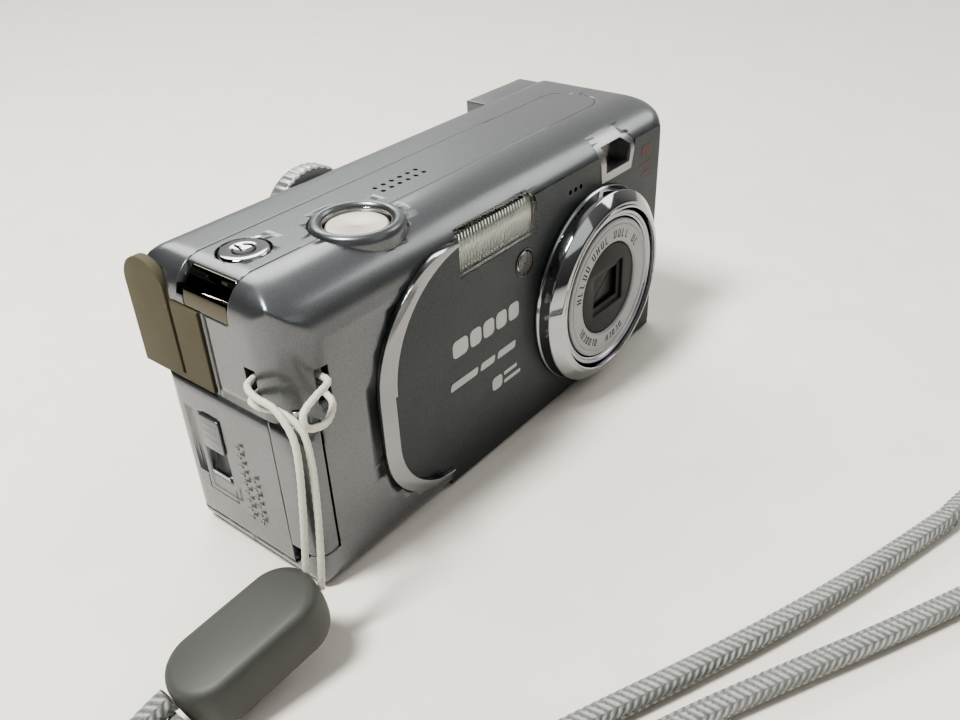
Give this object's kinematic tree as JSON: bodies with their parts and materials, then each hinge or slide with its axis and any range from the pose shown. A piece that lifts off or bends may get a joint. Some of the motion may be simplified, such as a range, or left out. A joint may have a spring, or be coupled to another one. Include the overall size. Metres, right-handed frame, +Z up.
{
  "type": "compact digital camera",
  "caption": "Pocket digital camera with telescoping lens, grip end battery cover, rear screen, mode dial and a braided wrist strap.",
  "frame": {"origin": "centre of the underside of the box around everything but the strap", "axes": "+Z up, lens faces -Y, grip end at -X, lens end at +X"},
  "size_m": [0.1563, 0.1241, 0.0518],
  "materials": {
    "front_shell": "satin silver paint",
    "rear_shell": "satin silver paint",
    "top_cover": "satin silver paint",
    "front_panel": "dark satin sheet",
    "crescent_trim": "polished",
    "corner_trim": "polished",
    "lens_ring": "polished",
    "lens_housing": "matt black",
    "lens_barrel_outer": "satin",
    "lens_barrel_inner": "satin",
    "name_ring": "satin",
    "barrier_mask": "matt black",
    "front_lens": "clear",
    "barrier_blade_a": "matt black",
    "barrier_blade_b": "matt black",
    "image_sensor": "board green",
    "lens_motor": "plain",
    "flash_window": "clear ribbed",
    "flash_reflector": "polished",
    "flash_capacitor": "black sleeve",
    "af_lamp_lens": "clear ribbed",
    "viewfinder_bezel": "polished",
    "viewfinder_tube": "matt black",
    "eyepiece_housing": "dark satin",
    "eyepiece_lens": "clear",
    "lcd_window": "clear",
    "lcd_panel": "black sleeve",
    "main_board": "board green",
    "battery_holder": "matt black",
    "batteries": "printed sleeve",
    "battery_contacts": "plain",
    "card_slot": "plain",
    "memory_card": "black sleeve",
    "tripod_socket": "plain",
    "strap_lug": "satin silver",
    "speaker": "matt black",
    "jacks": "matt black",
    "case_screws": "plain",
    "shutter_ring": "satin silver paint",
    "shutter_button": "satin silver",
    "shutter_spring": "plain",
    "power_button": "polished",
    "mode_dial": "dark satin",
    "zoom_rocker": "satin silver",
    "pad_gimbal": "matt black",
    "control_pad": "satin silver",
    "set_button": "satin silver",
    "back_buttons_menu": "satin silver",
    "back_buttons_display": "satin silver",
    "back_buttons_print": "satin silver",
    "mode_switch": "matt black",
    "terminal_cover": "soft olive grey",
    "hinge_strip": "satin silver paint",
    "hinge_pin": "plain",
    "battery_cover": "satin silver paint",
    "cover_latch": "satin silver paint",
    "strap_cord": "twisted thin cord",
    "strap_joiner": "moulded grey",
    "strap_braid_a": "herringbone braid",
    "strap_braid_b": "herringbone braid"
  },
  "bodies": {
    "camera": {"front_shell": "front_shell", "rear_shell": "rear_shell", "top_cover": "top_cover", "front_panel": "front_panel", "crescent_trim": "crescent_trim", "corner_trim": "corner_trim", "lens_ring": "lens_ring", "lens_housing": "lens_housing", "image_sensor": "image_sensor", "lens_motor": "lens_motor", "flash_window": "flash_window", "flash_reflector": "flash_reflector", "flash_capacitor": "flash_capacitor", "af_lamp_lens": "af_lamp_lens", "viewfinder_bezel": "viewfinder_bezel", "viewfinder_tube": "viewfinder_tube", "eyepiece_housing": "eyepiece_housing", "eyepiece_lens": "eyepiece_lens", "lcd_window": "lcd_window", "lcd_panel": "lcd_panel", "main_board": "main_board", "battery_holder": "battery_holder", "batteries": "batteries", "battery_contacts": "battery_contacts", "card_slot": "card_slot", "memory_card": "memory_card", "tripod_socket": "tripod_socket", "strap_lug": "strap_lug", "speaker": "speaker", "jacks": "jacks", "case_screws": "case_screws", "shutter_ring": "shutter_ring", "shutter_spring": "shutter_spring", "hinge_pin": "hinge_pin", "strap_cord": "strap_cord", "strap_joiner": "strap_joiner", "strap_braid_a": "strap_braid_a", "strap_braid_b": "strap_braid_b"},
    "lens_outer": {"lens_barrel_outer": "lens_barrel_outer"},
    "lens_inner": {"lens_barrel_inner": "lens_barrel_inner", "name_ring": "name_ring", "barrier_mask": "barrier_mask", "front_lens": "front_lens"},
    "blade_a": {"barrier_blade_a": "barrier_blade_a"},
    "blade_b": {"barrier_blade_b": "barrier_blade_b"},
    "shutter_button": {"shutter_button": "shutter_button"},
    "power_button": {"power_button": "power_button"},
    "mode_dial": {"mode_dial": "mode_dial"},
    "zoom_rocker": {"zoom_rocker": "zoom_rocker"},
    "pad_gimbal": {"pad_gimbal": "pad_gimbal"},
    "control_pad": {"control_pad": "control_pad"},
    "set_button": {"set_button": "set_button"},
    "menu_button": {"back_buttons_menu": "back_buttons_menu"},
    "display_button": {"back_buttons_display": "back_buttons_display"},
    "print_button": {"back_buttons_print": "back_buttons_print"},
    "mode_switch": {"mode_switch": "mode_switch"},
    "terminal_cover": {"terminal_cover": "terminal_cover"},
    "hinge_strip": {"hinge_strip": "hinge_strip"},
    "battery_cover": {"battery_cover": "battery_cover"},
    "cover_latch": {"cover_latch": "cover_latch"}
  },
  "joints": [
    {"name": "lens_extend", "type": "slide", "parent": "camera", "child": "lens_outer", "axis": [0, -1, 0], "range_m": [0, 0.009]},
    {"name": "lens_inner_extend", "type": "slide", "parent": "lens_outer", "child": "lens_inner", "axis": [0, -1, 0], "range_m": [0, 0.009]},
    {"name": "blade_a_open", "type": "hinge", "parent": "lens_inner", "child": "blade_a", "pos_m": [0.03336, -0.0172, 0.02705], "axis": [0, 1, 0], "range_deg": [0, 31.5]},
    {"name": "blade_b_open", "type": "hinge", "parent": "lens_inner", "child": "blade_b", "pos_m": [0.01664, -0.0172, 0.01535], "axis": [0, 1, 0], "range_deg": [0, 31.5]},
    {"name": "shutter_press", "type": "slide", "parent": "camera", "child": "shutter_button", "axis": [0, 0, -1], "range_m": [0, 0.0008], "stiffness_N_per_m": 1200, "deforming": ["shutter_spring"]},
    {"name": "power_press", "type": "slide", "parent": "camera", "child": "power_button", "axis": [0, 0, -1], "range_m": [0, 0.0005], "stiffness_N_per_m": 2000},
    {"name": "mode_dial_turn", "type": "hinge", "parent": "camera", "child": "mode_dial", "pos_m": [-0.0155, 0.018, 0.0425], "axis": [0, 1, 0], "continuous": true},
    {"name": "zoom_rock", "type": "hinge", "parent": "camera", "child": "zoom_rocker", "pos_m": [-0.0345, 0.0154, 0.044], "axis": [0, 0, 1], "range_deg": [-4, 4], "stiffness_Nm_per_rad": 0.1},
    {"name": "pad_tilt_side", "type": "hinge", "parent": "camera", "child": "pad_gimbal", "pos_m": [-0.027, 0.0152, 0.024], "axis": [0, 0, 1], "range_deg": [-2, 2], "stiffness_Nm_per_rad": 0.2},
    {"name": "pad_tilt_up", "type": "hinge", "parent": "pad_gimbal", "child": "control_pad", "pos_m": [-0.027, 0.0152, 0.024], "axis": [1, 0, 0], "range_deg": [-2, 2], "stiffness_Nm_per_rad": 0.2},
    {"name": "set_press", "type": "slide", "parent": "camera", "child": "set_button", "axis": [0, -1, 0], "range_m": [0, 0.0003], "stiffness_N_per_m": 3000},
    {"name": "menu_press", "type": "slide", "parent": "camera", "child": "menu_button", "axis": [0, -1, 0], "range_m": [0, 0.0003], "stiffness_N_per_m": 3000},
    {"name": "display_press", "type": "slide", "parent": "camera", "child": "display_button", "axis": [0, -1, 0], "range_m": [0, 0.0003], "stiffness_N_per_m": 3000},
    {"name": "print_press", "type": "slide", "parent": "camera", "child": "print_button", "axis": [0, -1, 0], "range_m": [0, 0.0003], "stiffness_N_per_m": 3000},
    {"name": "mode_switch_slide", "type": "slide", "parent": "camera", "child": "mode_switch", "axis": [1, 0, 0], "range_m": [0, 0.0032]},
    {"name": "terminal_cover_open", "type": "hinge", "parent": "camera", "child": "terminal_cover", "pos_m": [-0.0452, 0.0161, 0.0407], "axis": [0, 0, -1], "range_deg": [0, 90]},
    {"name": "battery_cover_swing", "type": "hinge", "parent": "camera", "child": "hinge_strip", "pos_m": [-0.0486, -0.0131, 0.0189], "axis": [0, 0, 1], "range_deg": [0, 80]},
    {"name": "battery_cover_slide", "type": "slide", "parent": "hinge_strip", "child": "battery_cover", "axis": [0, 1, 0], "range_m": [0, 0.003]},
    {"name": "latch_slide", "type": "slide", "parent": "battery_cover", "child": "cover_latch", "axis": [0, 0, -1], "range_m": [0, 0.003]}
  ],
  "couplings": [
    {"joint": "lens_inner_extend", "follows": "lens_extend", "ratio": 1},
    {"joint": "blade_a_open", "follows": "lens_extend", "rad_per_m": 61},
    {"joint": "blade_b_open", "follows": "lens_extend", "rad_per_m": 61}
  ]
}
